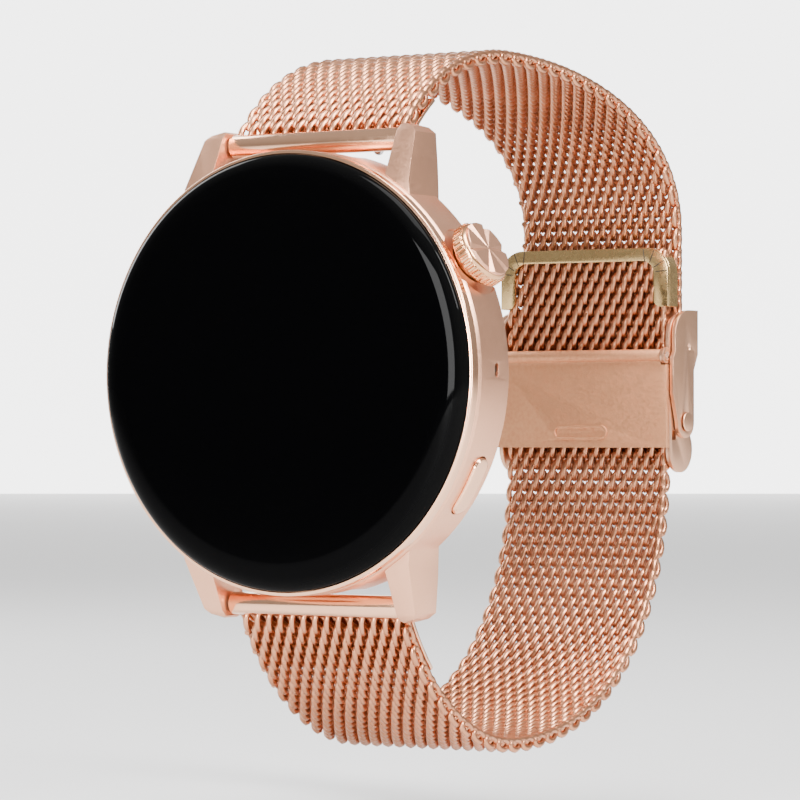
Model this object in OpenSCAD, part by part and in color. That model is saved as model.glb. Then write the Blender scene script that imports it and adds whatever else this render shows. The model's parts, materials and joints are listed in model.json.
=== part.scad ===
// Round smartwatch with a woven wire band and a folding sliding clasp.
// X runs to 3 o'clock, Z to 12 o'clock, and the display faces -Y.
// The origin is the centre of the rear sensor window, on the face that meets the wrist.

/* [Case] */
// Outer diameter of the case
case_d = 42; // [34:0.5:52]
// Depth of the case's middle ring
mid_h = 5.8; // [4.8:0.1:7.5]
// Wall of the case's middle ring
case_wall = 2.3; // [2:0.1:3]
// Depth of the bezel ring
bezel_h = 1.1; // [0.9:0.05:1.4]
// Width of the metal rim left showing round the glass
rim_w = 0.38; // [0.3:0.02:0.7]
// Height of the glass's curved edge
glass_crown = 1.3; // [0.8:0.1:1.6]
// Depth of the rear case, from the sensor window to its flange
rear_h = 2.1; // [1.8:0.1:2.6]
// Diameter of the rear sensor window
window_d = 17.4; // [14:0.2:20]

/* [Lugs] */
// Gap between two lugs, which is the size of band it takes
lug_gap = 20; // [16:0.5:24]
// Width of a lug where it leaves the case
lug_w = 3.1; // [2.4:0.1:3.8]
// Width of a lug at its tip
lug_tip_w = 2.1; // [1.6:0.1:3]
// Distance from the case's edge to the spring bar's axis
bar_out = 1; // [0.8:0.1:2.2]
// Distance from the spring bar's axis to the lug's tip
lug_nose = 1.4; // [1.1:0.1:2]
// Distance of the spring bar's axis from the wrist face
bar_depth = 3.2; // [2.6:0.1:4]

/* [Crown and button] */
// Diameter of the crown
crown_d = 6.6; // [5:0.1:7]
// Length of the crown
crown_l = 1.8; // [1.4:0.1:2.6]
// Travel of the crown
crown_travel = 0.5; // [0.3:0.05:0.6]
// Length of the side button
button_l = 6; // [4.5:0.1:7.2]
// Width of the side button
button_w = 2.1; // [1.6:0.1:2.6]
// Travel of the side button
button_travel = 0.4; // [0.2:0.05:0.45]

/* [Band] */
// Thickness of the woven band
mesh_t = 1.6; // [1.3:0.05:1.95]
// Gap between the band's edge and a lug or a clasp ear
edge_gap = 0.3; // [0.2:0.05:0.6]
// Distance from the wrist face to the middle of the long strap at the clasp
loop_depth = 47.5; // [39:0.5:57]
// Rise of the loop over the upper spring bar
loop_rise = 9.1; // [8:0.5:12]
// Drop of the loop under the lower spring bar
loop_drop = 14.2; // [12:0.5:18]
// Height of the end of the long strap's gold tip
tip_top = 13.8; // [12:0.1:16.5]
// Outer diameter of an end bar's tube
tube_d = 2.2; // [2:0.05:2.4]

/* [Clasp] */
// Height of the top edge of the clasp
clasp_top = 7.3; // [5.6:0.1:8]
// Distance from the top edge to the bottom of the ears
clasp_l = 17; // [15.5:0.1:20.7]
// Thickness of an ear of the frame
ear_t = 0.45; // [0.35:0.05:0.6]
// Thickness of the cover's plate
cover_t = 0.6; // [0.45:0.05:0.8]
// Thickness of the lock plate
lock_t = 0.6; // [0.5:0.05:0.8]
// Thickness of the floor between the two straps
floor_t = 0.4; // [0.3:0.05:0.5]
// Diameter of the pin that the hook catches
hook_pin_d = 0.8; // [0.6:0.05:1]

/* [Hidden] */
$fn = 96;
over = 1;                                // how far a cut runs past the face it opens
seat = 0.05;                             // gap round a piece that sits in its own body
running = 0.05;                          // radial clearance of a shaft that turns

// Colours
rose_satin = [0.87, 0.71, 0.63];
rose_bright = [0.90, 0.70, 0.60];
rose_mesh = [0.78, 0.57, 0.45];
rose_plate = [0.83, 0.66, 0.57];
tip_gold = [0.72, 0.60, 0.43];
steel = [0.72, 0.73, 0.75];
black = [0.05, 0.05, 0.06];
board_green = [0.10, 0.30, 0.22];
copper = [0.75, 0.45, 0.28];

// Case heights, from the wrist face towards the display
case_r = case_d / 2;
cavity_r = case_r - case_wall;
mid_top = rear_h + mid_h;
bezel_top = mid_top + bezel_h;
glass_top = bezel_top + glass_crown;
glass_r = case_r - rim_w - seat;
edge_chamfer = 0.6;
ledge_r = glass_r - 0.85;                // inner edge of the ledge that carries the glass
ledge_z = mid_top + 0.4;
gasket_t = 0.15;
glass_under = ledge_z + gasket_t + 0.2;
panel_t = 1.1;
panel_r = ledge_r - 0.45;
bracket_t = 0.4;
bracket_z = mid_top - 1;
bracket_top = bracket_z + bracket_t + seat;
board_t = 0.5;
board_z = rear_h + 3.3;
board_r = cavity_r - 6.3;
window_r = window_d / 2;
window_t = 0.72;
flange_r = case_r - 0.7;
screw_ring_r = cavity_r + 0.8;
screw_angles = [45, 135, 225, 315];

// Things at the rim, by their angle from 3 o'clock
crown_angle = 29.5;
button_angle = -30.3;
mic_angle = 0.4;
side_z = rear_h + 2.8;                   // height of the crown's, button's and hole's middle
stem_r = 0.7;
tube_bore_r = 1;
crown_tube_r = 1.25;
crown_tube_end = case_r - 1.5;
plunger_in = cavity_r - 3.3;
neck_r = crown_d / 2 - 1.4;
knob_start = case_r + 0.15;
recess_r = crown_d / 2 + 0.2;            // recess in the case that the pressed crown sinks into
recess_floor = knob_start - crown_travel - 0.12;
switch_depth = 1.7;
button_proud = 0.35;
button_base = case_r - 1.4;
button_gap = 0.12;
button_stem_r = 0.6;
button_stem_in = cavity_r - 1.3;

// Bars and band
bar_z = case_r + bar_out;
lug_tip = bar_z + lug_nose;
mesh_w = lug_gap - 2 * edge_gap;
bar_half = lug_gap / 2 - 0.25;
bar_bore_r = 0.75;
bar_r = 0.65;
tip_pin_r = 0.4;
tip_pin_in = 0.8;                        // how far a spring bar's tip reaches into a lug
knob_x = 6.1;
knob_reach = 1.45;
knob_r = 0.5;
slide_room = 1.1;                        // travel of a quick-release pin
notch_z = case_r - 0.65;                 // flat cut between the lugs, clear of the end bars
notch_h = bar_depth + tube_d / 2 + 0.9;
clip_t = 0.35;
clip_l = 0.34;                           // share of the first curve that the clip plate runs along

// Clasp, from the wrist outwards
layer_gap = 0.2;
tail_y = loop_depth;
floor_y = tail_y + mesh_t / 2 + layer_gap;
hook_y = floor_y + floor_t + layer_gap;
short_y = hook_y + mesh_t / 2;
cover_y = hook_y + mesh_t + 0.25;
lock_y = tail_y - mesh_t / 2 - layer_gap - 0.2 - lock_t;
ear_in = mesh_w / 2 + edge_gap - 0.05;
ear_out = ear_in + ear_t;
arm_in = ear_out + 0.12;
arm_out = arm_in + ear_t;
ear_inner_y = lock_y + lock_t + 0.1;
ear_round_r = 2.45;
clasp_bottom = clasp_top - clasp_l;
cover_l = 4.7;
cover_edge = clasp_top - cover_l;
flap_l = 1.5;                            // narrower flap of the cover, above its arms
flap_half = 7.4;
pivot_z = clasp_top - 11.7;
pivot_y = cover_y - 1.95;
rivet_r = 0.6;
roof_r = 6;                              // bend of the convex plate towards its lower edge
roof_t = 0.5;
roof_y = cover_y + 0.25;
roof_low = clasp_bottom + 3.1;
roof_top = cover_edge - 0.6;
hook_pin_z = clasp_top - 2.7;
hook_pin_y = hook_y + 0.1 + hook_pin_d / 2;
hook_end = hook_pin_z - 3.2;
clamp_z = hook_pin_z + 0.6;
clamp_l = 2;
lock_pin_r = 0.4;
lock_knuckle_r = 0.65;
lobe_r = 0.85;                           // boss of the ear round the lock pin
lock_pin_z = clasp_top - 4.8;
lock_pin_y = lock_y + 0.25;
lock_l = 9.6;
tip_bar = 1.9;
tip_leg = 4.3;
tip_side = 0.5;
tip_skin = 0.3;

// Turns a shape drawn flat, with 12 o'clock along +Y, so that its +Z faces the display's way
module facing() { rotate([90, 0, 0]) children(); }

// Runs a shape along +Z of its own outwards through the case's wall at an angle from 3 o'clock
module outwards(angle) {
    facing() rotate([0, 0, angle]) translate([0, 0, side_z]) rotate([0, 90, 0]) children();
}

// Extrudes an outline drawn in Y and Z along X, w wide, centred
module across(w) { rotate([90, 0, 90]) linear_extrude(w, center = true) children(); }

// A cylinder along X from x0 to x1, on the line through y and z
module rod(x0, x1, r, y, z) {
    translate([x0, y, z]) rotate([0, 90, 0]) cylinder(h = x1 - x0, r = r);
}

// A ring of revolution, from r0 to r1 and from z0 to z1
module ring(r0, r1, z0, z1) {
    rotate_extrude() translate([r0, z0]) square([r1 - r0, z1 - z0]);
}

// A bar with round ends, l long along X overall and w wide
module stadium(l, w) {
    square([l - w, w], center = true);
    for (s = [-1, 1]) translate([s * (l - w) / 2, 0]) circle(d = w, $fn = 32);
}

// Points and unit normals of a cubic curve, the normal to the left of the way it runs
function curve_at(c, t) = pow(1 - t, 3) * c[0] + 3 * t * pow(1 - t, 2) * c[1]
    + 3 * t * t * (1 - t) * c[2] + pow(t, 3) * c[3];
function slope_at(c, t) = pow(1 - t, 2) * (c[1] - c[0]) + 2 * t * (1 - t) * (c[2] - c[1])
    + t * t * (c[3] - c[2]);
function normal_at(c, t) = [-slope_at(c, t)[1], slope_at(c, t)[0]] / norm(slope_at(c, t));
function offset_run(c, d, n, t1 = 1) =
    [for (i = [0:n]) curve_at(c, t1 * i / n) + d * normal_at(c, t1 * i / n)];
function backwards(p) = [for (i = [len(p) - 1:-1:0]) p[i]];

// The middle line of each strap, in Y and Z: off the bar to the crest, then to the clasp
crest_y = 15.7;
upper_leave = 54;
upper_crest = bar_z + loop_rise;
upper_a = [[-bar_depth, bar_z], [-bar_depth, bar_z] + 6.8 * [cos(upper_leave), sin(upper_leave)],
    [crest_y - 8.2, upper_crest], [crest_y, upper_crest]];
upper_b = [[crest_y, upper_crest], [crest_y + (short_y - crest_y) * 0.54, upper_crest],
    [short_y, clasp_top + 18.3], [short_y, clasp_top + 8.3]];
lower_leave = 67;
lower_crest = -bar_z - loop_drop;
lower_a = [[-bar_depth, -bar_z], [-bar_depth, -bar_z] + 7 * [cos(lower_leave), -sin(lower_leave)],
    [crest_y - 8.7, lower_crest], [crest_y + 2, lower_crest]];
lower_b = [[crest_y + 2, lower_crest], [crest_y + 2 + (tail_y - crest_y - 2) * 0.62, lower_crest],
    [tail_y, clasp_bottom - 15.5], [tail_y, clasp_bottom + 2.5]];
run_a = 14;
run_b = 22;
mesh_start = tube_d / 2 + seat;

// The outline of a strap from its two curves, with d0 and d1 as its two faces, to the height z1
module strap_outline(a, b, d0, d1, z1) {
    end = b[3];
    far = (z1 > end[1] ? 1 : -1);
    polygon(concat(offset_run(a, d0, run_a), offset_run(b, d0, run_b),
        [[end[0] - far * d0, z1], [end[0] - far * d1, z1]],
        backwards(offset_run(b, d1, run_b)), backwards(offset_run(a, d1, run_a))));
}

// ---------------------------------------------------------------- case

module lug_plan() {
    inner = lug_gap / 2;
    polygon([[inner, cavity_r - 4], [inner, lug_tip - 0.2], [inner + 0.3, lug_tip],
        [inner + lug_tip_w - 0.5, lug_tip - 0.35], [inner + lug_tip_w, lug_tip - 0.9],
        [inner + lug_w, case_r - 5.2], [inner + lug_w, cavity_r - 4]]);
}

module lug_side() {
    polygon([[cavity_r - 4, rear_h + 0.5], [case_r - 2, rear_h - 0.3], [lug_tip - 0.9, bar_depth - 1.85],
        [lug_tip, bar_depth - 1.1], [lug_tip, bar_depth + 0.9], [lug_tip - 0.7, bar_depth + 1.7],
        [case_r - 3.2, mid_top - 0.7], [cavity_r - 4, mid_top - 0.5]]);
}

// The lug at 1 o'clock, with its outline from the front and from the side
module lug() {
    intersection() {
        translate([0, 0, -over]) linear_extrude(mid_top + 2 * over) lug_plan();
        rotate([90, 0, 90]) linear_extrude(case_r) lug_side();
    }
}

module case_ring() {
    rotate_extrude() polygon([[cavity_r, rear_h], [case_r - edge_chamfer, rear_h],
        [case_r, rear_h + edge_chamfer + 0.1], [case_r, mid_top - 0.4], [case_r - 0.25, mid_top],
        [panel_r + 0.4, mid_top], [panel_r + 0.4, bracket_top], [cavity_r, bracket_top]]);
}

module case_middle() {
    color(rose_satin) difference() {
        facing() difference() {
            union() {
                case_ring();
                for (mx = [0, 1], my = [0, 1]) mirror([mx, 0, 0]) mirror([0, my, 0]) lug();
            }
            translate([0, 0, -over]) cylinder(h = bracket_top + over, r = cavity_r);
            translate([0, 0, bracket_top]) cylinder(h = case_wall, r = panel_r + 0.4);
            translate([0, 0, -over]) cylinder(h = rear_h + over, r = flange_r + seat);
            for (s = [-1, 1]) translate([-lug_gap / 2, s > 0 ? notch_z : -notch_z - 9, -over])
                cube([lug_gap, 9, notch_h + over]);
            for (a = screw_angles) rotate([0, 0, a]) translate([screw_ring_r, 0, rear_h - over])
                cylinder(h = over + 2.4, r = 0.5);
        }
        outwards(crown_angle) {
            translate([0, 0, cavity_r - over]) cylinder(h = case_wall + 2 * over, r = crown_tube_r);
            translate([0, 0, crown_tube_end + 0.05]) cylinder(h = case_wall, r = neck_r + 0.2);
            translate([0, 0, recess_floor]) cylinder(h = case_wall, r = recess_r);
        }
        outwards(button_angle) {
            translate([0, 0, button_base - button_travel - 0.1])
                linear_extrude(case_wall + 1) rotate(90) stadium(button_l + 2 * button_gap,
                    button_w + 2 * button_gap);
            translate([0, 0, cavity_r - over]) cylinder(h = case_wall, r = button_stem_r + running);
        }
        outwards(mic_angle) translate([0, 0, cavity_r - over])
            linear_extrude(case_wall + 2 * over) rotate(90) stadium(1.3, 0.65);
        for (s = [-1, 1]) rod(-lug_gap / 2 - tip_pin_in - 0.3, lug_gap / 2 + tip_pin_in + 0.3,
            tip_pin_r + running, -bar_depth, s * bar_z);
    }
}

module bezel_ring() {
    color(rose_bright) facing() rotate_extrude() polygon([[ledge_r, mid_top],
        [case_r - 0.25, mid_top], [case_r - 0.02, mid_top + 0.2], [case_r - 0.02, bezel_top - 0.3],
        [case_r - 0.14, bezel_top], [case_r - rim_w, bezel_top], [case_r - rim_w, ledge_z],
        [ledge_r, ledge_z]]);
}

module cover_glass() {
    shoulder = 3.6;
    steps = 10;
    color(black) facing() rotate_extrude() polygon(concat(
        [[0, glass_under], [ledge_r - 0.1, glass_under], [ledge_r - 0.1, ledge_z + gasket_t],
            [glass_r, ledge_z + gasket_t]],
        [for (i = [0:steps]) [glass_r - shoulder * (1 - cos(90 * i / steps)),
            bezel_top + glass_crown * sin(90 * i / steps)]],
        [[0, glass_top]]));
}

module glass_gasket() {
    color("dimgray") facing() ring(ledge_r + 0.05, glass_r - 0.1, ledge_z, ledge_z + gasket_t);
}

module display_panel() {
    color(black) facing() ring(0, panel_r, glass_under - seat - panel_t, glass_under - seat);
}

flex_y = board_r - 0.9;
flex_w = 4;

module display_bracket() {
    color(steel) facing() difference() {
        translate([0, 0, bracket_z]) cylinder(h = bracket_t, r = cavity_r - 0.3);
        translate([-flex_w / 2 - 0.4, flex_y - 0.5, 0]) cube([flex_w + 0.8, 1, mid_top]);
    }
}

module display_flex() {
    bottom = board_z + board_t;
    color("orange") facing() translate([-flex_w / 2, flex_y - 0.1, bottom])
        cube([flex_w, 0.2, glass_under - seat - panel_t - bottom]);
}

module main_board() {
    color(board_green) facing() translate([0, 0, board_z]) cylinder(h = board_t, r = board_r);
}

module board_shield() {
    color(steel) facing() translate([-7, -6, board_z + board_t]) cube([14, 11, 0.9]);
}

battery_z = rear_h + 0.05;

module battery() {
    color("silver") facing() translate([-10, -8.5, battery_z])
        cube([20, 17, board_z - battery_z - 0.15]);
}

module vibration_motor() {
    color(steel) facing() translate([0, -(cavity_r - 4.6), rear_h + 0.4]) cylinder(h = 2.5, r = 3.3);
}

// A block hung from the display bracket, with its inner face facing a stem or a hole
module hung_block(angle, r0, r1, w) {
    facing() rotate([0, 0, angle]) translate([r0, -w / 2, side_z - 1.3])
        cube([r1 - r0, w, bracket_z - side_z + 1.3]);
}

module microphone() { color("goldenrod") hung_block(mic_angle, cavity_r - 1.7, cavity_r - 0.4, 2.8); }

module crown_encoder() {
    color(black) hung_block(crown_angle, plunger_in - crown_travel - 0.1 - switch_depth,
        plunger_in - crown_travel - 0.1, 3.2);
}

module button_switch() {
    color(black) hung_block(button_angle, button_stem_in - button_travel - 0.1 - switch_depth,
        button_stem_in - button_travel - 0.1, 3);
}

module antenna_frame() {
    color("dimgray") difference() {
        facing() ring(cavity_r - 1.4, cavity_r - 0.1, side_z + 1.4, bracket_z);
        hung_block(mic_angle, cavity_r - 1.9, cavity_r + 0.2, 3.2);
    }
}

module rear_case() {
    color([0.25, 0.24, 0.25]) facing() difference() {
        rotate_extrude() polygon([[window_r + seat, 0.2], [flange_r - 0.9, rear_h - 0.8],
            [flange_r, rear_h - 0.3], [flange_r, rear_h], [cavity_r - 0.9, rear_h],
            [window_r - 0.8, rear_h - 0.95], [window_r - 0.8, window_t], [window_r + seat, window_t]]);
        for (a = screw_angles) rotate([0, 0, a]) translate([screw_ring_r, 0, 0]) {
            translate([0, 0, -over]) cylinder(h = rear_h - 0.35 + over, r = 0.85);
            cylinder(h = rear_h + over, r = 0.55);
        }
    }
}

module rear_gasket() { color("dimgray") facing() ring(cavity_r - 0.5, cavity_r - 0.05, rear_h, rear_h + 0.4); }

module sensor_window() {
    color(black) facing() rotate_extrude() polygon([[0, 0], [window_r - 0.4, 0],
        [window_r, 0.3], [window_r, window_t], [0, window_t]]);
}

module sensor_board() {
    color(board_green) facing() {
        translate([0, 0, window_t]) cylinder(h = 0.5, r = window_r - 0.9);
        translate([0, 0, window_t + 0.5]) cylinder(h = 0.3, r = 3);
    }
}

module charging_coil() {
    color(copper) facing() ring(window_r + 0.8, window_r + 5.3, rear_h - 0.3, rear_h);
}

module rear_screws() {
    color(steel) facing() for (a = screw_angles) rotate([0, 0, a]) translate([screw_ring_r, 0, 0]) {
        translate([0, 0, rear_h - 0.6]) cylinder(h = 0.25, r = 0.8);
        translate([0, 0, rear_h - 0.35]) cylinder(h = 2.5, r = 0.5);
    }
}

// ---------------------------------------------------------------- crown and button

module crown_tube() {
    color(steel) outwards(crown_angle) difference() {
        translate([0, 0, cavity_r - 1]) cylinder(h = crown_tube_end - cavity_r + 1, r = crown_tube_r);
        translate([0, 0, cavity_r - 2]) cylinder(h = case_wall + 4, r = tube_bore_r);
    }
}

module crown_plunger() {
    color("white") outwards(crown_angle) difference() {
        translate([0, 0, plunger_in]) cylinder(h = 1.6, r = 1.2);
        translate([0, 0, plunger_in + 0.6]) cylinder(h = 2, r = stem_r + running);
    }
}

module crown_stem() {
    color(steel) outwards(crown_angle)
        translate([0, 0, plunger_in + 0.7]) cylinder(h = knob_start - plunger_in - 0.7, r = stem_r);
}

module crown_seal() {
    color("dimgray") outwards(crown_angle) difference() {
        translate([0, 0, cavity_r + 0.2]) cylinder(h = 0.6, r = tube_bore_r - 0.04);
        translate([0, 0, cavity_r]) cylinder(h = 1, r = stem_r);
    }
}

crown_teeth = 36;
function tooth_r(i) = crown_d / 2 - (i % 4 < 2 ? 0 : 0.16);

module crown_knob() {
    color(rose_bright) outwards(crown_angle) {
        translate([0, 0, crown_tube_end + 0.8]) difference() {
            cylinder(h = knob_start - crown_tube_end - 0.8, r = neck_r);
            translate([0, 0, -over]) cylinder(h = knob_start, r = stem_r);
        }
        translate([0, 0, knob_start]) cylinder(h = 0.4, r = crown_d / 2 - 0.4);
        translate([0, 0, knob_start + 0.4]) linear_extrude(crown_l - 0.8)
            polygon([for (i = [0:4 * crown_teeth - 1]) tooth_r(i)
                * [cos(i * 90 / crown_teeth), sin(i * 90 / crown_teeth)]]);
        translate([0, 0, knob_start + crown_l - 0.4]) cylinder(h = 0.3, r = crown_d / 2 - 0.35);
    }
}

module crown_cap() {
    color(rose_bright) outwards(crown_angle) translate([0, 0, knob_start + crown_l - 0.1])
        cylinder(h = 0.3, r1 = crown_d / 2 - 0.45, r2 = crown_d / 2 - 0.75);
}

module side_button() {
    color(rose_bright) intersection() {
        outwards(button_angle) translate([0, 0, button_base])
            linear_extrude(case_wall + 1) rotate(90) stadium(button_l, button_w);
        facing() cylinder(h = mid_top, r = case_r + button_proud);
    }
}

module button_stem() {
    color(steel) outwards(button_angle) translate([0, 0, button_stem_in])
        cylinder(h = button_base - button_stem_in, r = button_stem_r);
}

// ---------------------------------------------------------------- band ends

// Draws along X through a spring bar's axis, with +Y turned to the angle a in Y and Z
module on_bar(s, a) { translate([0, -bar_depth, s * bar_z]) rotate([a, 0, 0]) children(); }

// The tube and the clip plate folded from it; side +1 is the upper bar, whose knob is at +X
module end_bar(s, a, c) {
    difference() {
        union() {
            rod(-bar_half, bar_half, tube_d / 2, -bar_depth, s * bar_z);
            across(mesh_w - 0.2) polygon(concat(
                offset_run(c, -s * (mesh_t / 2 + 0.03), 6, clip_l),
                backwards(offset_run(c, -s * (mesh_t / 2 + 0.03 + clip_t), 6, clip_l))));
        }
        rod(-bar_half - over, bar_half + over, bar_bore_r, -bar_depth, s * bar_z);
        on_bar(s, a) translate([s * knob_x - (s > 0 ? slide_room + 0.7 : 0.7), 0, -0.55])
            cube([slide_room + 1.4, 2.4, 1.1]);
    }
}

module upper_end_bar() { color(rose_bright) end_bar(1, upper_leave - 90, upper_a); }
module lower_end_bar() { color(rose_bright) end_bar(-1, 90 - lower_leave, lower_a); }

// The fixed half of a spring bar, with its tip in the lug away from the knob
module spring_bar(s) {
    far = lug_gap / 2 + tip_pin_in;
    x = [-bar_half + 0.2, 3];
    y = s * bar_z;
    rod(s > 0 ? x[0] : -x[1], s > 0 ? x[1] : -x[0], bar_r, -bar_depth, y);
    rod(s > 0 ? -far : bar_half - 0.3, s > 0 ? -bar_half + 0.3 : far, tip_pin_r, -bar_depth, y);
}

module upper_spring_bar() { color(steel) spring_bar(1); }
module lower_spring_bar() { color(steel) spring_bar(-1); }

// The half that the knob draws back against the spring
module release_pin(s, a) {
    far = lug_gap / 2 + tip_pin_in;
    x = [3 + slide_room + 0.4, bar_half - 0.2];
    y = s * bar_z;
    rod(s > 0 ? x[0] : -x[1], s > 0 ? x[1] : -x[0], bar_r, -bar_depth, y);
    rod(s > 0 ? bar_half - 0.3 : -far, s > 0 ? far : -bar_half + 0.3, tip_pin_r, -bar_depth, y);
    on_bar(s, a) translate([s * knob_x, 0, 0]) {
        rotate([-90, 0, 0]) cylinder(h = knob_reach, r = 0.3);
        translate([0, knob_reach, 0]) sphere(r = knob_r);
    }
}

module upper_release_pin() { color(steel) release_pin(1, upper_leave - 90); }
module lower_release_pin() { color(steel) release_pin(-1, 90 - lower_leave); }

// ---------------------------------------------------------------- straps

module upper_strap_mesh() {
    tongue = mesh_t / 2 - 0.42;
    color(rose_mesh) difference() {
        across(mesh_w) strap_outline(upper_a, upper_b, mesh_t / 2, -mesh_t / 2, clamp_z + 0.65);
        across(mesh_w + over) for (s = [-1, 1])
            translate([short_y + s * (tongue + mesh_t) - mesh_t, clamp_z]) square([2 * mesh_t, clamp_l]);
        rod(-lug_gap, lug_gap, mesh_start, -bar_depth, bar_z);
    }
}

module lower_strap_mesh() {
    color(rose_mesh) difference() {
        across(mesh_w) strap_outline(lower_a, lower_b, mesh_t / 2, -mesh_t / 2, tip_top - tip_bar);
        rod(-lug_gap, lug_gap, mesh_start, -bar_depth, -bar_z);
    }
}

// The folded plate on the short strap, whose lip catches the hook pin
module hook_fitting() {
    wall = 0.4;
    plate_t = 0.4;
    lip_in = hook_pin_y + 0.05;
    plate_out = short_y + mesh_t / 2 - 0.25;
    color(rose_plate) {
        across(mesh_w - 0.2) {
            for (y = [hook_y, short_y + mesh_t / 2 - wall])
                translate([y, clamp_z]) square([wall, clamp_l]);
            translate([hook_y, clamp_z]) square([mesh_t, 0.6]);
        }
        across(mesh_w - 4) {
            translate([plate_out - plate_t, hook_end]) square([plate_t, clamp_z - hook_end]);
            translate([lip_in, hook_end]) square([plate_out - lip_in, 0.5]);
        }
    }
}

// The U-shaped end of the long strap, round its edges and its end
module strap_tip() {
    skin = mesh_t + 2 * tip_skin;
    half = mesh_w / 2 + tip_side;
    color(tip_gold) difference() {
        translate([-half, tail_y - skin / 2, tip_top - tip_bar - tip_leg])
            cube([2 * half, skin, tip_bar + tip_leg]);
        translate([-mesh_w / 2, tail_y - mesh_t / 2, tip_top - tip_bar - tip_leg - over])
            cube([mesh_w, mesh_t, tip_leg + over]);
        translate([-mesh_w / 2 + 0.6, tail_y - skin, tip_top - tip_bar - tip_leg - over])
            cube([mesh_w - 1.2, 2 * skin, tip_leg + over]);
    }
}

// ---------------------------------------------------------------- clasp

// The side of an ear or an arm from the height z0 up, rounded off at its top towards the wrist
module round_top(y0, y1, z0, z1) {
    bend_y = 2.9;
    bend_z = 2.6;
    polygon(concat([[y0, z0], [y1, z0], [y1, z1], [y0 + bend_y, z1]],
        [for (a = [100:10:180]) [y0 + bend_y + bend_y * cos(a), z1 - bend_z + bend_z * sin(a)]]));
}

module ear_outline() {
    round_top(ear_inner_y, cover_y - 0.2, clasp_bottom + ear_round_r, clasp_top - 0.2);
    translate([ear_inner_y + ear_round_r, clasp_bottom + ear_round_r]) circle(r = ear_round_r);
    translate([lock_pin_y, lock_pin_z]) circle(r = lobe_r);
}

module clasp_frame() {
    color(rose_plate) difference() {
        union() {
            for (s = [-1, 1]) translate([s * (ear_in + ear_out) / 2, 0, 0]) across(ear_t) ear_outline();
            across(2 * ear_in + 0.1) {
                translate([floor_y, clasp_bottom + 1]) square([floor_t, clasp_l - 1.4]);
                translate([roof_y - roof_t, roof_low + 3.8]) square([roof_t, roof_top - roof_low - 3.8]);
                intersection() {
                    translate([roof_y - roof_r, roof_low + 3.9]) difference() {
                        circle(r = roof_r);
                        circle(r = roof_r - roof_t);
                    }
                    translate([floor_y, roof_low]) square([5, 3.9]);
                }
                translate([floor_y + 0.1, roof_low]) square([roof_y - floor_y - 1.7, 0.4]);
            }
        }
        for (s = [-1, 1]) {
            rod(s > 0 ? ear_in - 0.1 : -ear_out - over, s > 0 ? ear_out + over : -ear_in + 0.1,
                hook_pin_d / 2, hook_pin_y, hook_pin_z);
            rod(s > 0 ? ear_in - 0.1 : -ear_out - over, s > 0 ? ear_out + over : -ear_in + 0.1,
                rivet_r, pivot_y, pivot_z);
            rod(s > 0 ? ear_in - 0.1 : -ear_out - over, s > 0 ? ear_out + over : -ear_in + 0.1,
                lock_pin_r, lock_pin_y, lock_pin_z);
            translate([s * ear_in - over, ear_inner_y + 0.6, pivot_z - 1.9]) cube([2 * over, 0.8, 1]);
        }
    }
}

module hook_pin() { color(steel) rod(-ear_out, ear_out, hook_pin_d / 2, hook_pin_y, hook_pin_z); }
module lock_pin() { color(steel) rod(-ear_out, ear_out, lock_pin_r, lock_pin_y, lock_pin_z); }

module cover_rivets() {
    color(rose_plate) for (s = [-1, 1]) {
        rod(s > 0 ? ear_in : -arm_out - 0.1, s > 0 ? arm_out + 0.1 : -ear_in, rivet_r, pivot_y, pivot_z);
        rod(s > 0 ? arm_out + 0.1 : -arm_out - 0.3, s > 0 ? arm_out + 0.3 : -arm_out - 0.1,
            rivet_r + 0.4, pivot_y, pivot_z);
    }
}

module clasp_cover() {
    arm_r = 1.7;
    skirt = ear_inner_y - 0.1;
    step = 0.45;
    shoulder = arm_out - 2.1;
    color(rose_plate) difference() {
        union() {
            translate([0, cover_y + cover_t, 0]) rotate([90, 0, 0]) linear_extrude(cover_t)
                polygon([[-arm_out, cover_edge], [arm_out, cover_edge], [arm_out, clasp_top],
                    [shoulder, clasp_top], [flap_half, clasp_top + flap_l],
                    [-flap_half, clasp_top + flap_l], [-shoulder, clasp_top], [-arm_out, clasp_top]]);
            for (s = [-1, 1]) translate([s * (arm_in + arm_out) / 2, 0, 0]) across(ear_t) {
                round_top(skirt + step, cover_y + cover_t, cover_edge, clasp_top);
                polygon([[cover_y + cover_t, cover_edge + 0.1], [pivot_y + arm_r, cover_edge - 1.6],
                    [pivot_y + arm_r, pivot_z], [pivot_y - arm_r, pivot_z], [skirt, pivot_z + 3],
                    [skirt, cover_edge - 0.4], [skirt + step, cover_edge + 0.4]]);
                translate([pivot_y, pivot_z]) circle(r = arm_r);
            }
        }
        rod(-arm_out - over, arm_out + over, rivet_r + running, pivot_y, pivot_z);
        for (s = [-1, 1]) translate([s * (arm_out + 0.25), pivot_y + 0.6, clasp_top - 3.9])
            sphere(r = 0.45, $fn = 32);
    }
}

module lock_plate() {
    half = ear_in - 0.2;
    slot_z = lock_pin_z - lock_l + 1.6;
    color(rose_plate) difference() {
        union() {
            across(2 * ear_out) translate([lock_y, lock_pin_z - lock_l])
                square([lock_t, lock_l - lobe_r - 0.1]);
            across(2 * half) {
                translate([lock_y, lock_pin_z - lock_l]) square([lock_t, lock_l]);
                translate([lock_pin_y, lock_pin_z]) circle(r = lock_knuckle_r);
            }
            translate([0, lock_y + 0.1, slot_z]) rotate([90, 0, 0]) linear_extrude(0.25) stadium(6.6, 1.5);
        }
        rod(-half - over, half + over, lock_pin_r + running, lock_pin_y, lock_pin_z);
        translate([0, lock_y, slot_z]) rotate([90, 0, 0]) linear_extrude(over) stadium(6, 0.9);
    }
}

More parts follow.
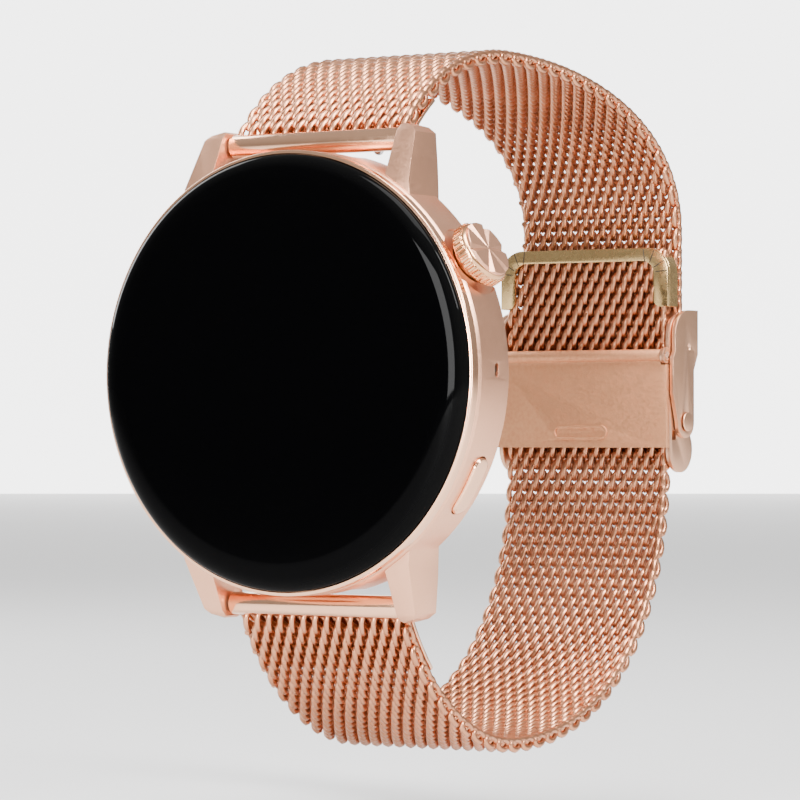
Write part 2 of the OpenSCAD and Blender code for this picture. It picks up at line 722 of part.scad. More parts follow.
case_middle();
bezel_ring();
cover_glass();
glass_gasket();
display_panel();
display_bracket();
display_flex();
main_board();
board_shield();
battery();
vibration_motor();
microphone();
antenna_frame();
rear_case();
rear_gasket();
sensor_window();
sensor_board();
charging_coil();
rear_screws();
crown_tube();
crown_encoder();
button_switch();
crown_plunger();
crown_stem();
crown_seal();
crown_knob();
crown_cap();
side_button();
button_stem();
upper_end_bar();
upper_strap_mesh();
hook_fitting();
upper_spring_bar();
upper_release_pin();
lower_end_bar();
lower_strap_mesh();
strap_tip();
lower_spring_bar();
lower_release_pin();
clasp_frame();
hook_pin();
cover_rivets();
clasp_cover();
lock_plate();
lock_pin();
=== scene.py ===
import json
import math

import bmesh
import bpy
from mathutils import Matrix, Vector


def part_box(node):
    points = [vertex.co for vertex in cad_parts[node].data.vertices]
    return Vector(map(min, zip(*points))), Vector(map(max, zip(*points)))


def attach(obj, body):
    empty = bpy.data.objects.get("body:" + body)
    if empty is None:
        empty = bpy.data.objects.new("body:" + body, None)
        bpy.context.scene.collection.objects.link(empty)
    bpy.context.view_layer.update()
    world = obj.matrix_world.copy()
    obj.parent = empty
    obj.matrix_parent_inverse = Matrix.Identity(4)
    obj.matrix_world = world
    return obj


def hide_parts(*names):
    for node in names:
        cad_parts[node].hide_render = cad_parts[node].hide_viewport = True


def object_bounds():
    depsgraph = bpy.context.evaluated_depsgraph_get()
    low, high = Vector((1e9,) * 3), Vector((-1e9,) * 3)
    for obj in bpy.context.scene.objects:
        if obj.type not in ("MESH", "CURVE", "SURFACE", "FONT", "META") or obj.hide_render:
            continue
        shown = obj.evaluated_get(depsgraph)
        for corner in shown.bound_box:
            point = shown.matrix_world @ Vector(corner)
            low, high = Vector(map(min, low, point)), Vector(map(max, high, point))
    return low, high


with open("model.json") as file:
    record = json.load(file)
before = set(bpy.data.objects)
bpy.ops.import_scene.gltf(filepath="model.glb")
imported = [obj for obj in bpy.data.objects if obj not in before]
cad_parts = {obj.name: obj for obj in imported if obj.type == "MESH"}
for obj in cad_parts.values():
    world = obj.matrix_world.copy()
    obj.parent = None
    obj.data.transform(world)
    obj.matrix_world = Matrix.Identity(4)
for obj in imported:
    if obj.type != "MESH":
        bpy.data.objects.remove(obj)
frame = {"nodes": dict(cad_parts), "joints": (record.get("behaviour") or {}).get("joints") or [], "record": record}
CAD_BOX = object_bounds()

bl_info = {
    "name": "Round Watch With Woven Band",
    "version": (1, 0, 0),
    "blender": (4, 5, 0),
    "location": "3D View > Sidebar > Watch",
    "description": "Builds the finished surfaces of a round watch round its packed frame",
    "category": "Add Mesh",
}

MM = 0.001
JOINTS = {j["name"]: j for j in frame["joints"]}
CROWN_AXIS = Vector(JOINTS["crown_spin"]["axis"])
CROWN_POINT = Vector(JOINTS["crown_spin"]["pos_m"])
MICROPHONE = Vector((0, CROWN_POINT.y, 0.14 * MM))     # middle of the hole's line, on the case's axis
TURNS = 128                     # steps round a turned piece
RIM_TURNS = 192                 # steps round the bezel and the glass
CREASE = 40                     # degrees past which a shell's edge is bevelled or kept sharp
RIM_WALL = 0.36 * MM            # thickness of the bezel's rim
RIM_SEAT = 0.87 * MM            # ledge of the bezel under the glass
GLASS_SEAT = 0.9 * MM           # ledge of the glass on the bezel
GLASS_CURVE = 2.8 * MM          # width of the glass's rounded rim
GLASS_DROP = 1.3 * MM           # height that the rim rounds through
GAUZE_REACH = 20.5 * MM         # from the case's axis to the microphone's gauze


# ---------------------------------------------------------------- settings

class WatchFinish(bpy.types.PropertyGroup):
    """Colours and surface of the metal parts"""
    case_colour: bpy.props.FloatVectorProperty(
        name="Case", description="Satin metal of the case ring and lugs",
        subtype="COLOR", size=3, min=0, max=1, default=(0.84, 0.445, 0.28))
    bright_colour: bpy.props.FloatVectorProperty(
        name="Polished metal", description="Polished rim, bars, crown and button",
        subtype="COLOR", size=3, min=0, max=1, default=(0.93, 0.53, 0.33))
    wire_colour: bpy.props.FloatVectorProperty(
        name="Wire", description="Drawn wire of the band",
        subtype="COLOR", size=3, min=0, max=1, default=(0.64, 0.3, 0.165))
    clasp_colour: bpy.props.FloatVectorProperty(
        name="Clasp", description="Brushed plates of the clasp",
        subtype="COLOR", size=3, min=0, max=1, default=(0.80, 0.46, 0.29))
    tip_colour: bpy.props.FloatVectorProperty(
        name="Band tip", description="Yellower metal of the long strap's end",
        subtype="COLOR", size=3, min=0, max=1, default=(0.66, 0.45, 0.2))


class WatchBand(bpy.types.PropertyGroup):
    """Sizes of the woven band"""
    pitch: bpy.props.FloatProperty(
        name="Pitch", description="Distance between two turns of a coil, across the band",
        unit="LENGTH", default=1.34 * MM, precision=5)
    row: bpy.props.FloatProperty(
        name="Row", description="Distance between two coils, along the band",
        unit="LENGTH", default=1.16 * MM, precision=5)
    reach: bpy.props.FloatProperty(
        name="Reach", description="How far a coil reaches along the band, either way from its middle",
        unit="LENGTH", default=0.98 * MM, precision=5)
    wire: bpy.props.FloatProperty(
        name="Wire radius", description="Radius of the wire",
        unit="LENGTH", default=0.31 * MM, precision=5)


class WatchStage(bpy.types.PropertyGroup):
    """Camera and light"""
    azimuth: bpy.props.FloatProperty(
        name="Camera azimuth", description="Turn of the camera from square on to the display",
        subtype="ANGLE", default=math.radians(33.1))
    elevation: bpy.props.FloatProperty(
        name="Camera elevation", description="Height of the camera over the display's middle",
        subtype="ANGLE", default=math.radians(-0.55))
    distance: bpy.props.FloatProperty(
        name="Camera distance", description="Distance of the camera from the watch",
        unit="LENGTH", default=0.4)
    width: bpy.props.FloatProperty(
        name="View width", description="Width of the view at the watch",
        unit="LENGTH", default=0.08)


def settings():
    scene = bpy.context.scene
    return scene.watch_finish, scene.watch_band, scene.watch_stage


# ---------------------------------------------------------------- modelling helpers

def deselect():
    if bpy.context.object and bpy.context.object.mode != "OBJECT":
        bpy.ops.object.mode_set(mode="OBJECT")
    bpy.ops.object.select_all(action="DESELECT")


def pick(obj):
    deselect()
    obj.select_set(True)
    bpy.context.view_layer.objects.active = obj


def edit(obj, select="DESELECT"):
    pick(obj)
    bpy.ops.object.mode_set(mode="EDIT")
    bpy.ops.mesh.select_mode(type="FACE")
    bpy.ops.mesh.select_all(action=select)


def done():
    bpy.ops.object.mode_set(mode="OBJECT")


def select_faces(obj, wanted):
    """Selects the faces whose centre and normal pass the test, in edit mode"""
    mesh = bmesh.from_edit_mesh(obj.data)
    for face in mesh.faces:
        face.select_set(wanted(face.calc_center_median(), face.normal))
    mesh.select_flush_mode()
    bmesh.update_edit_mesh(obj.data)


def apply_modifiers(obj):
    pick(obj)
    for modifier in list(obj.modifiers):
        bpy.ops.object.modifier_apply(modifier=modifier.name)


def bake_place(obj):
    pick(obj)
    bpy.ops.object.transform_apply(location=True, rotation=True, scale=True)


def smooth(obj, angle=32):
    pick(obj)
    bpy.ops.object.shade_smooth_by_angle(angle=math.radians(angle))


def outward(obj):
    edit(obj, "SELECT")
    bpy.ops.mesh.remove_doubles(threshold=1e-6)
    bpy.ops.mesh.normals_make_consistent(inside=False)
    done()


def bevel(obj, width, segments=2, angle=30):
    modifier = obj.modifiers.new("edge", "BEVEL")
    modifier.width = width
    modifier.segments = segments
    modifier.limit_method = "ANGLE"
    modifier.angle_limit = math.radians(angle)
    modifier.use_clamp_overlap = True
    apply_modifiers(obj)


def dress(obj, body, slot, material, *nodes, angle=32):
    """Finishes a piece: its place, its smooth faces, its metal, and the body that it rides on"""
    bake_place(obj)
    smooth(obj, angle)
    obj.data.materials.clear()
    obj.data.materials.append(material)
    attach(obj, body)
    if nodes:
        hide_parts(*nodes)
    return obj


def copied(node, name):
    """A merged copy of a CAD node, with its flat faces made whole, to bevel or cut"""
    source = frame["nodes"][node]
    obj = bpy.data.objects.new(name, source.data.copy())
    bpy.context.scene.collection.objects.link(obj)
    edit(obj, "SELECT")
    bpy.ops.mesh.remove_doubles(threshold=2e-6)
    bpy.ops.mesh.dissolve_limited(angle_limit=math.radians(0.8))
    done()
    for polygon in obj.data.polygons:
        polygon.use_smooth = False
    return obj


def named(obj, name):
    obj.name = name
    obj.data.name = name
    return obj


def turned(name, profile, steps=TURNS):
    """A closed solid of revolution about Z from radius and height pairs in metres, base to top"""
    mesh = bpy.data.meshes.new(name)
    mesh.from_pydata([(r, 0, z) for r, z in profile],
                     [(i, i + 1) for i in range(len(profile) - 1)], [])
    obj = bpy.data.objects.new(name, mesh)
    bpy.context.scene.collection.objects.link(obj)
    pick(obj)
    bpy.ops.object.mode_set(mode="EDIT")
    bpy.ops.mesh.select_mode(type="VERT")
    bpy.ops.mesh.select_all(action="SELECT")
    bpy.ops.mesh.spin(steps=steps, angle=2 * math.pi, center=(0, 0, 0), axis=(0, 0, 1))
    bpy.ops.mesh.select_all(action="SELECT")
    bpy.ops.mesh.remove_doubles(threshold=1e-6)
    bpy.ops.mesh.normals_make_consistent(inside=False)
    done()
    return obj


def facing_display(obj):
    """Turns a piece made about Z so that its Z faces the display's way, -Y"""
    obj.data.transform(Matrix.Rotation(math.radians(90), 4, "X"))
    return obj


def on_crown_axis(obj):
    """Turns a piece made about Z to the crown's axis, with its zero at the case's middle"""
    turn = Vector((0, 0, 1)).rotation_difference(CROWN_AXIS).to_matrix().to_4x4()
    obj.data.transform(Matrix.Translation(Vector((0, CROWN_POINT.y, 0))) @ turn)
    return obj


def arc(centre, radius, start, end, steps):
    return [(centre[0] + radius * math.cos(math.radians(start + (end - start) * i / steps)),
             centre[1] + radius * math.sin(math.radians(start + (end - start) * i / steps)))
            for i in range(steps + 1)]


def slab(name, outline, depth, plane):
    """A flat outline extruded through its depth; plane carries the outline to its place"""
    mesh = bpy.data.meshes.new(name)
    mesh.from_pydata([(x, y, 0) for x, y in outline], [], [list(range(len(outline)))])
    obj = bpy.data.objects.new(name, mesh)
    bpy.context.scene.collection.objects.link(obj)
    edit(obj, "SELECT")
    bpy.ops.mesh.extrude_region_move(TRANSFORM_OT_translate={"value": (0, 0, depth)})
    bpy.ops.mesh.select_all(action="SELECT")
    bpy.ops.mesh.normals_make_consistent(inside=False)
    done()
    obj.data.transform(plane)
    return obj


# ---------------------------------------------------------------- finishes

GRAIN_HEIGHT = 3e-6             # metres, height of the metals' grain


def node_tree(name):
    material = bpy.data.materials.new(name)
    material.use_nodes = True
    nodes = material.node_tree.nodes
    return material, nodes, material.node_tree.links, nodes["Principled BSDF"]


def grain(nodes, links, scale, stretch=(1, 1, 1), detail=4):
    """Noise on the piece's own coordinates, drawn out along the axes with a low stretch"""
    place = nodes.new("ShaderNodeTexCoord")
    mapping = nodes.new("ShaderNodeMapping")
    mapping.inputs["Scale"].default_value = stretch
    noise = nodes.new("ShaderNodeTexNoise")
    noise.inputs["Scale"].default_value = scale
    noise.inputs["Detail"].default_value = detail
    links.new(place.outputs["Object"], mapping.inputs["Vector"])
    links.new(mapping.outputs["Vector"], noise.inputs["Vector"])
    return noise.outputs["Fac"]


def spread(nodes, links, source, low, high):
    """Maps a 0.3 to 0.7 noise onto a span of values"""
    span = nodes.new("ShaderNodeMapRange")
    span.inputs["From Min"].default_value = 0.3
    span.inputs["From Max"].default_value = 0.7
    span.inputs["To Min"].default_value = low
    span.inputs["To Max"].default_value = high
    links.new(source, span.inputs["Value"])
    return span.outputs["Result"]


def tinted(nodes, links, source, colour, depth):
    """A colour that darkens and reddens a little with the noise"""
    ramp = nodes.new("ShaderNodeValToRGB")
    ramp.color_ramp.elements[0].position = 0.3
    ramp.color_ramp.elements[1].position = 0.7
    ramp.color_ramp.elements[0].color = (colour[0] * (1 - depth), colour[1] * (1 - depth * 1.4),
                                         colour[2] * (1 - depth * 1.6), 1)
    ramp.color_ramp.elements[1].color = (*colour, 1)
    links.new(source, ramp.inputs["Fac"])
    return ramp.outputs["Color"]


def raise_bumps(nodes, links, source, shader, strength, height):
    bump = nodes.new("ShaderNodeBump")
    bump.inputs["Strength"].default_value = strength
    bump.inputs["Distance"].default_value = height
    links.new(source, bump.inputs["Height"])
    links.new(bump.outputs["Normal"], shader.inputs["Normal"])


def metal(name, colour, rough, stretch=(1, 1, 1), scale=900, depth=0.12, lines=0.25):
    """Coated metal: a slow change of tone, and a grain that the stretch turns into brushing"""
    material, nodes, links, shader = node_tree(name)
    shader.inputs["Metallic"].default_value = 1
    slow = grain(nodes, links, 140, detail=3)
    fine = grain(nodes, links, scale, stretch, detail=6)
    links.new(tinted(nodes, links, slow, colour, depth), shader.inputs["Base Color"])
    links.new(spread(nodes, links, fine, rough * 0.8, rough * 1.25), shader.inputs["Roughness"])
    raise_bumps(nodes, links, fine, shader, lines, GRAIN_HEIGHT)
    return material


def plastic(name, colour, rough, bump=0.2, scale=2500, coat=0):
    material, nodes, links, shader = node_tree(name)
    fine = grain(nodes, links, scale, detail=3)
    links.new(tinted(nodes, links, fine, colour, 0.15), shader.inputs["Base Color"])
    links.new(spread(nodes, links, fine, rough * 0.85, rough * 1.15), shader.inputs["Roughness"])
    shader.inputs["Coat Weight"].default_value = coat
    raise_bumps(nodes, links, fine, shader, bump, 4e-6)
    return material


def display_glass():
    """Black-backed glass, with a painted reflection that lightens its curved rim, and faint wipe marks in its
    gloss
    """
    material, nodes, links, shader = node_tree("display_glass_black")
    place = nodes.new("ShaderNodeTexCoord")
    flat = nodes.new("ShaderNodeMapping")
    flat.inputs["Scale"].default_value = (1, 0, 1)
    length = nodes.new("ShaderNodeVectorMath")
    length.operation = "LENGTH"
    ramp = nodes.new("ShaderNodeValToRGB")
    # painted reflection: the base colour lightens from near black towards the curved rim
    ramp.color_ramp.elements[0].color = (0.0004, 0.0004, 0.0005, 1)
    ramp.color_ramp.elements[1].color = (0.002, 0.002, 0.002, 1)
    span = nodes.new("ShaderNodeMapRange")
    span.inputs["From Min"].default_value = 19.3 * MM
    span.inputs["From Max"].default_value = 20.5 * MM
    links.new(place.outputs["Object"], flat.inputs["Vector"])
    links.new(flat.outputs["Vector"], length.inputs[0])
    links.new(length.outputs["Value"], span.inputs["Value"])
    links.new(span.outputs["Result"], ramp.inputs["Fac"])
    links.new(ramp.outputs["Color"], shader.inputs["Base Color"])
    wipe = grain(nodes, links, 60, (1, 1, 3), detail=2)
    links.new(spread(nodes, links, wipe, 0.03, 0.06), shader.inputs["Roughness"])
    shader.inputs["Specular IOR Level"].default_value = 0.03
    return material


def sensor_glass():
    """Dark window over the optical sensor, with rings printed under it"""
    material, nodes, links, shader = node_tree("sensor_glass_dark")
    place = nodes.new("ShaderNodeTexCoord")
    flat = nodes.new("ShaderNodeMapping")
    flat.inputs["Scale"].default_value = (1, 0, 1)
    length = nodes.new("ShaderNodeVectorMath")
    length.operation = "LENGTH"
    ramp = nodes.new("ShaderNodeValToRGB")
    ramp.color_ramp.interpolation = "CONSTANT"
    rings = [(0, 0.012), (0.19, 0.09), (0.22, 0.012), (0.42, 0.05), (0.6, 0.012), (0.62, 0.03),
             (0.86, 0.006)]
    for index, (position, value) in enumerate(rings):
        stops = ramp.color_ramp.elements
        stop = stops[index] if index < 2 else stops.new(position)
        stop.position = position
        stop.color = (value, value, value * 1.1, 1)
    span = nodes.new("ShaderNodeMapRange")
    span.inputs["From Max"].default_value = 8.7 * MM
    links.new(place.outputs["Object"], flat.inputs["Vector"])
    links.new(flat.outputs["Vector"], length.inputs[0])
    links.new(length.outputs["Value"], span.inputs["Value"])
    links.new(span.outputs["Result"], ramp.inputs["Fac"])
    links.new(ramp.outputs["Color"], shader.inputs["Base Color"])
    wipe = grain(nodes, links, 80, (1, 1, 3), detail=2)
    links.new(spread(nodes, links, wipe, 0.04, 0.09), shader.inputs["Roughness"])
    return material


FINISH = {}


def make_finishes():
    finish, _, _ = settings()
    case, bright = tuple(finish.case_colour), tuple(finish.bright_colour)
    wire, clasp, tip = tuple(finish.wire_colour), tuple(finish.clasp_colour), tuple(finish.tip_colour)
    FINISH.update({
        "satin": metal("rose_satin_blasted", case, 0.36, scale=5000, depth=0.06, lines=0.35),
        "bright": metal("rose_polished", bright, 0.14, scale=1500, depth=0.06, lines=0.06),
        "wire": metal("rose_drawn_wire", wire, 0.33, scale=3000, depth=0.16, lines=0.12),
        "brushed": metal("rose_brushed_plate", clasp, 0.36, (0.02, 1, 1), 5200, 0.08, 0.5),
        "grip": metal("rose_gold_knurl", (0.86, 0.47, 0.24), 0.2, scale=1500, depth=0.08, lines=0.06),
        "lock": metal("rose_satin_plate", (0.72, 0.36, 0.19), 0.62, scale=2600, depth=0.03, lines=0.1),
        "tip": metal("gold_tip", tip, 0.26, scale=1400, depth=0.1, lines=0.1),
        "steel": metal("turned_steel", (0.62, 0.62, 0.64), 0.25, (1, 0.1, 1), 2600, 0.1, 0.2),
        "foil": metal("battery_foil", (0.7, 0.7, 0.72), 0.3, scale=700, depth=0.1),
        "copper": metal("coil_wire", (0.7, 0.35, 0.2), 0.3, scale=4000, depth=0.3, lines=0.6),
        "glass": display_glass(),
        "window": sensor_glass(),
        "rear": plastic("rear_composite", (0.035, 0.032, 0.033), 0.45),
        "grey": plastic("grey_moulding", (0.16, 0.16, 0.17), 0.5),
        "rubber": plastic("black_seal", (0.02, 0.02, 0.02), 0.7),
        "panel": plastic("display_backing", (0.008, 0.008, 0.009), 0.3, 0.05),
        "board": plastic("solder_resist", (0.02, 0.12, 0.07), 0.4, 0.6, 1800, 0.3),
        "film": plastic("amber_film", (0.5, 0.22, 0.05), 0.3, 0.1),
        # painted shade: a near-black finish for the strips that stand in for the tip's crimp grooves
        "groove_shade": plastic("crimp_groove_painted_shade", (0.03, 0.022, 0.015), 0.6),
    })


NODE_FINISH = {
    "rose_satin_metal": "satin", "rose_polished_metal": "bright", "rose_brushed_metal": "brushed",
    "rose_mesh_wire": "wire", "gold_tip_metal": "tip", "display_glass": "glass",
    "sensor_glass": "window", "display_black": "panel", "rear_plastic": "rear",
    "grey_plastic": "grey", "black_rubber": "rubber", "bare_steel": "steel",
    "circuit_board": "board", "amber_film": "film", "battery_foil": "foil", "coil_copper": "copper",
}


# ---------------------------------------------------------------- the band's shape

# The straps' middle lines, in Y and Z, in millimetres, as each leaves its bar, crests and falls
UPPER_BEZIER = [(-3.2, 22), (0.797, 27.501), (7.5, 31.1), (15.7, 31.1)]
UPPER_BEZIER_2 = [(15.7, 31.1), (34.168, 31.1), (49.9, 25.6), (49.9, 15.6)]
LOWER_BEZIER = [(-3.2, -22), (-0.465, -28.444), (7, -36.2), (17.7, -36.2)]
LOWER_BEZIER_2 = [(17.7, -36.2), (36.176, -36.2), (47.5, -25.2), (47.5, -7.2)]
UPPER_END = 7
LOWER_END = 14.1
BAND_HALF = 9.7 * MM
BAND_THICK = 1.6 * MM
CLIP_FACE = BAND_THICK / 2 + 0.38 * MM                  # wrist side of a clip plate, from the band's middle
CRIMP_SHARE = 0.22                                      # share of the first curve, at the crimps' middle
CRIMPS = (-8.6 * MM, -6.3 * MM, 5.5 * MM, 7.8 * MM)     # places of the crimps across a clip plate


def plane_to_band():
    """Carries a drawing in X and Y to the world's Y and Z, and its height to X"""
    return Matrix(((0, 0, 1, 0), (1, 0, 0, 0), (0, 1, 0, 0), (0, 0, 0, 1)))


def band_line(name, first, second, end):
    """The flat curve that a strap follows, from its bar to its free end, in its own X and Y"""
    curve = bpy.data.curves.new(name, "CURVE")
    curve.dimensions = "2D"
    curve.resolution_u = 96
    spline = curve.splines.new("BEZIER")
    spline.bezier_points.add(3)
    stops = [(first[0], first[0], first[1]), (first[2], first[3], second[1]),
             (second[2], second[3], None), (None, (second[3][0], end), None)]
    for point, (left, middle, right) in zip(spline.bezier_points, stops):
        low, high = (middle[1] + (second[3][1] - end) / 3, middle[1] - (second[3][1] - end) / 3)
        point.co = (*(v * MM for v in middle), 0)
        point.handle_left = (*(v * MM for v in (left or (middle[0], low))), 0)
        point.handle_right = (*(v * MM for v in (right or (middle[0], high))), 0)
    obj = bpy.data.objects.new(name, curve)
    bpy.context.scene.collection.objects.link(obj)
    return obj


def coil_points(middle, shift, band):
    """One flattened coil across the band: X along the band, Y through it, Z across it"""
    turns = 2 * BAND_HALF / band.pitch
    rise = BAND_THICK / 2 - band.wire
    per_turn = 12
    count = int(turns * per_turn)
    edge = BAND_HALF - band.wire
    points = []
    for i in range(count + 1):
        angle = 2 * math.pi * i / per_turn
        across = -BAND_HALF + band.pitch * (i / per_turn + shift)
        swing = math.sin(angle)
        height = math.copysign(abs(swing) ** 0.95, swing) * rise
        points.append((middle - band.reach * math.cos(angle), height,
                       max(-edge, min(edge, across))))
    return points


def weave(name, line, start, length, band):
    """A run of woven band: two coils are modelled, repeated along a line, and bent to it"""
    curve = bpy.data.curves.new(name, "CURVE")
    curve.dimensions = "3D"
    curve.bevel_depth = band.wire
    curve.bevel_resolution = 1
    curve.use_fill_caps = True
    for middle, shift in ((0.5 * band.row, 0), (1.5 * band.row, 0.5)):
        points = coil_points(start + middle, shift, band)
        spline = curve.splines.new("POLY")
        spline.points.add(len(points) - 1)
        for point, place in zip(spline.points, points):
            point.co = (*place, 1)
    obj = bpy.data.objects.new(name, curve)
    bpy.context.scene.collection.objects.link(obj)
    pick(obj)
    bpy.ops.object.convert(target="MESH")
    obj = bpy.context.object
    repeat = obj.modifiers.new("rows", "ARRAY")
    repeat.count = max(1, round(length / (2 * band.row)))
    repeat.use_relative_offset = False
    repeat.use_constant_offset = True
    repeat.constant_offset_displace = (2 * band.row, 0, 0)
    bend = obj.modifiers.new("bend", "CURVE")
    bend.object = line
    bend.deform_axis = "POS_X"
    apply_modifiers(obj)
    obj.data.transform(plane_to_band())
    return obj


def line_length(line):
    return line.data.splines[0].calc_length()


class WATCH_OT_band(bpy.types.Operator):
    """Weave both straps out of interlinked coils of wire"""
    bl_idname = "watch.band"
    bl_label = "Woven band"

    def execute(self, context):
        _, band, _ = settings()
        upper = band_line("upper_line", UPPER_BEZIER, UPPER_BEZIER_2, UPPER_END)
        lower = band_line("lower_line", LOWER_BEZIER, LOWER_BEZIER_2, LOWER_END)
        skip = 1.35 * MM
        upper_run = line_length(upper) - skip
        lower_run = line_length(lower) - skip
        cell = 2 * band.row
        half = round(lower_run / 2 / cell) * cell
        runs = [("upper_band_weave", upper, skip, upper_run, "upper_strap", "upper_strap_mesh"),
                ("lower_band_weave", lower, skip, half, "lower_strap", "lower_strap_mesh"),
                ("lower_band_weave_tail", lower, skip + half, lower_run - half, "lower_strap", None)]
        for name, line, start, length, body, node in runs:
            obj = weave(name, line, start, length, band)
            dress(obj, body, "rose_mesh_wire", FINISH["wire"], *([node] if node else []), angle=180)
        for line in (upper, lower):
            bpy.data.objects.remove(line)
        return {"FINISHED"}


# ---------------------------------------------------------------- case

class WATCH_OT_case(bpy.types.Operator):
    """Finish the case ring and its lugs, the bezel, the glass and the microphone's gauze"""
    bl_idname = "watch.case"
    bl_label = "Case"

    def execute(self, context):
        ring = copied("case_middle", "case_ring_and_lugs")
        bevel(ring, 0.16 * MM, 3, 28)
        dress(ring, "case", "rose_satin_metal", FINISH["satin"], "case_middle", angle=40)

        low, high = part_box("bezel_ring")
        back, front = -high.y, -low.y
        outer, inner = high.x, high.x - RIM_WALL
        profile = [(inner - RIM_SEAT, back), (outer - 0.2 * MM, back), (outer, back + 0.2 * MM),
                   (outer, front - 0.26 * MM)]
        profile += arc((outer - 0.16 * MM, front - 0.2 * MM), 0.16 * MM, 20, 90, 5)
        profile += [(inner + 0.05 * MM, front), (inner, front - 0.05 * MM), (inner, back + 0.4 * MM),
                    (inner - RIM_SEAT, back + 0.4 * MM), (inner - RIM_SEAT, back)]
        bezel = facing_display(turned("bezel_rim", profile, RIM_TURNS))
        dress(bezel, "case", "rose_polished_metal", FINISH["bright"], "bezel_ring")

        low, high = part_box("cover_glass")
        back, front, edge = -high.y, -low.y, high.x
        seat = front - GLASS_DROP
        profile = [(0, back + 0.2 * MM), (edge - GLASS_SEAT, back + 0.2 * MM), (edge - GLASS_SEAT, back),
                   (edge, back)]
        profile += [(edge - GLASS_CURVE * (1 - math.cos(math.radians(a))),
                     seat + (front - seat) * math.sin(math.radians(a))) for a in range(0, 91, 5)]
        profile += [(edge - GLASS_CURVE - 4 * MM, front), (0, front)]
        glass = facing_display(turned("domed_glass", profile, RIM_TURNS))
        dress(glass, "case", "display_glass", FINISH["glass"], "cover_glass", angle=50)

        bpy.ops.mesh.primitive_cylinder_add(vertices=32, radius=0.32 * MM, depth=0.4 * MM,
                                            location=(0, 0, GAUZE_REACH))
        gauze = named(bpy.context.object, "microphone_gauze")
        bake_place(gauze)
        bevel(gauze, 0.04 * MM, 2, 40)
        gauze.data.transform(Matrix.Translation(MICROPHONE) @ Matrix.Rotation(math.radians(90), 4, "Y")
                             @ Matrix.Rotation(math.radians(90), 4, "Z"))
        dress(gauze, "case", "black_rubber", FINISH["rubber"])
        return {"FINISHED"}


def crown_profile(start, stop, radius):
    profile = [(0, start), (radius - 0.35 * MM, start)]
    profile += arc((radius - 0.35 * MM, start + 0.35 * MM), 0.35 * MM, -90, 0, 4)[1:]
    profile += [(radius, stop - 0.45 * MM)]
    profile += arc((radius - 0.45 * MM, stop - 0.45 * MM), 0.45 * MM, 0, 60, 4)[1:]
    profile += [(radius - 0.5 * MM, stop), (0, stop)]
    return profile


class WATCH_OT_crown(bpy.types.Operator):
    """Turn and knurl the crown, and facet the star on its end"""
    bl_idname = "watch.crown"
    bl_label = "Crown"

    def execute(self, context):
        start, stop, radius = 21.15 * MM, 22.85 * MM, 3.0 * MM
        teeth = 36
        knob = turned("crown_grip", crown_profile(start, stop, radius), teeth * 4)
        edit(knob)

        def is_tooth(centre, normal):
            turn = math.degrees(math.atan2(centre.y, centre.x)) % (360 / teeth)
            side = start + 0.3 * MM < centre.z < stop - 0.4 * MM
            return side and turn < 180 / teeth and math.hypot(centre.x, centre.y) > radius - 0.1 * MM
        select_faces(knob, is_tooth)
        bpy.ops.mesh.extrude_region_shrink_fatten(TRANSFORM_OT_shrink_fatten={"value": 0.19 * MM})
        done()
        outward(knob)
        bevel(knob, 0.05 * MM, 1, 50)
        inner, outer, root, end = 0.7 * MM, 1.9 * MM, 20.3 * MM, start + 0.05 * MM
        neck = turned("crown_neck", [(inner, root), (outer, root), (outer, end), (inner, end),
                                     (inner, root)], TURNS // 2)
        pick(knob)
        neck.select_set(True)
        bpy.ops.object.join()
        dress(on_crown_axis(knob), "crown", "rose_polished_metal", FINISH["grip"], "crown_knob", angle=25)

        points, rim, depth = 6, 2.75 * MM, 0.34 * MM
        steps = points * 12
        top = stop + 0.28 * MM
        bpy.ops.mesh.primitive_circle_add(vertices=steps, radius=rim, fill_type="TRIFAN",
                                          location=(0, 0, top))
        cap = named(bpy.context.object, "crown_star")
        bake_place(cap)
        edit(cap, "SELECT")
        bpy.ops.mesh.extrude_region_move(TRANSFORM_OT_translate={"value": (0, 0, -0.4 * MM)})
        done()
        for vertex in cap.data.vertices:
            reach = math.hypot(vertex.co.x, vertex.co.y)
            if vertex.co.z > top - 0.1 * MM and reach > 0.5 * rim:
                turn = (math.atan2(vertex.co.y, vertex.co.x) / (2 * math.pi) * points) % 1
                cut = max(0, 1 - abs(turn - 0.5) / 0.17)
                vertex.co.z -= depth * cut
        outward(cap)
        bevel(cap, 0.05 * MM, 1, 60)
        dress(on_crown_axis(cap), "crown", "rose_polished_metal", FINISH["satin"], "crown_cap", angle=4)
        return {"FINISHED"}


class WATCH_OT_button(bpy.types.Operator):
    """Chamfer the side button"""
    bl_idname = "watch.button"
    bl_label = "Side button"

    def execute(self, context):
        button = copied("side_button", "side_button_cap")
        bevel(button, 0.3 * MM, 2, 40)
        dress(button, "button", "rose_polished_metal", FINISH["bright"], "side_button", angle=25)
        return {"FINISHED"}


# ---------------------------------------------------------------- band ends and clasp

def on_curve(stops, share):
    """Place and direction at a share of a four-point curve in Y and Z, in metres"""
    t, u = share, 1 - share
    place = [u ** 3 * a + 3 * u * u * t * b + 3 * u * t * t * c + t ** 3 * d for a, b, c, d in zip(*stops)]
    way = [3 * (u * u * (b - a) + 2 * u * t * (c - b) + t * t * (d - c)) for a, b, c, d in zip(*stops)]
    return Vector((0, *place)) * MM, Vector((0, *way)).normalized()


def crescent(length, bulge, width, steps=12):
    """Outline of a half moon whose horns lie along Y"""
    outer = [(bulge * math.sin(math.pi * i / steps), length * (0.5 - i / steps)) for i in range(steps + 1)]
    inner = [((bulge - width) * math.sin(math.pi * i / steps), length * (0.44 - 0.88 * i / steps))
             for i in range(steps, -1, -1)]
    return outer + inner


